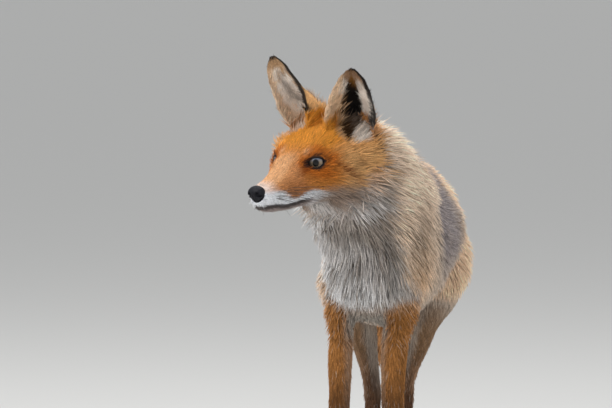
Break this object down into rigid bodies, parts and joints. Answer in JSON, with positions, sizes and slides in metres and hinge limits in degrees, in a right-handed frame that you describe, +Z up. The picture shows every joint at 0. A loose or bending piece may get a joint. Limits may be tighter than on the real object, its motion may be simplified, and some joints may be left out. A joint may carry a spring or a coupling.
{
  "type": "red fox",
  "caption": "Still, life-size red fox standing square with its head turned to its right, ears up and tail held low behind.",
  "frame": {"origin": "on the floor, under the centre of the bounding box", "axes": "+Z up, -Y the way the body faces, +X the fox's left side"},
  "size_m": [0.1702, 0.8814, 0.4875],
  "materials": {
    "coat_fur": "dense fox coat, rusty orange on the head, straw tan with dark flecks on mane and flank, matt",
    "bib_fur": "long whitish grey hair of throat, chin and chest in pointed locks",
    "ear_fur": "short hair, pale inside, black on the rim and the back",
    "leg_fur": "short close orange brown hair, darker down the front",
    "paw_fur": "short close dark brown hair",
    "tail_fur": "long bushy rusty hair with some dark tips",
    "tail_tip_fur": "long white hair",
    "nose_leather": "black pebbled nose pad, moist satin",
    "eye": "pale grey yellow iris with a dark pupil under a clear wet cornea",
    "claw": "dark brown horn, smooth",
    "whisker": "stiff dark hairs"
  },
  "bodies": {
    "root": {"chest": "bib_fur", "ear_left": "ear_fur", "ear_right": "ear_fur", "eye_left": "eye", "eye_right": "eye", "forearm_left": "leg_fur", "forearm_right": "leg_fur", "forepaw_left": "paw_fur", "forepaw_right": "paw_fur", "head": "coat_fur", "hindfoot_left": "leg_fur", "hindfoot_right": "leg_fur", "hindpaw_left": "paw_fur", "hindpaw_right": "paw_fur", "jaw": "bib_fur", "loin": "coat_fur", "neck": "coat_fur", "nose": "nose_leather", "rump": "coat_fur", "shank_left": "leg_fur", "shank_right": "leg_fur", "shoulder_left": "coat_fur", "shoulder_right": "coat_fur", "tail_middle": "tail_fur", "tail_root": "tail_fur", "tail_tip": "tail_tip_fur", "thigh_left": "coat_fur", "thigh_right": "coat_fur"}
  },
  "joints": []
}
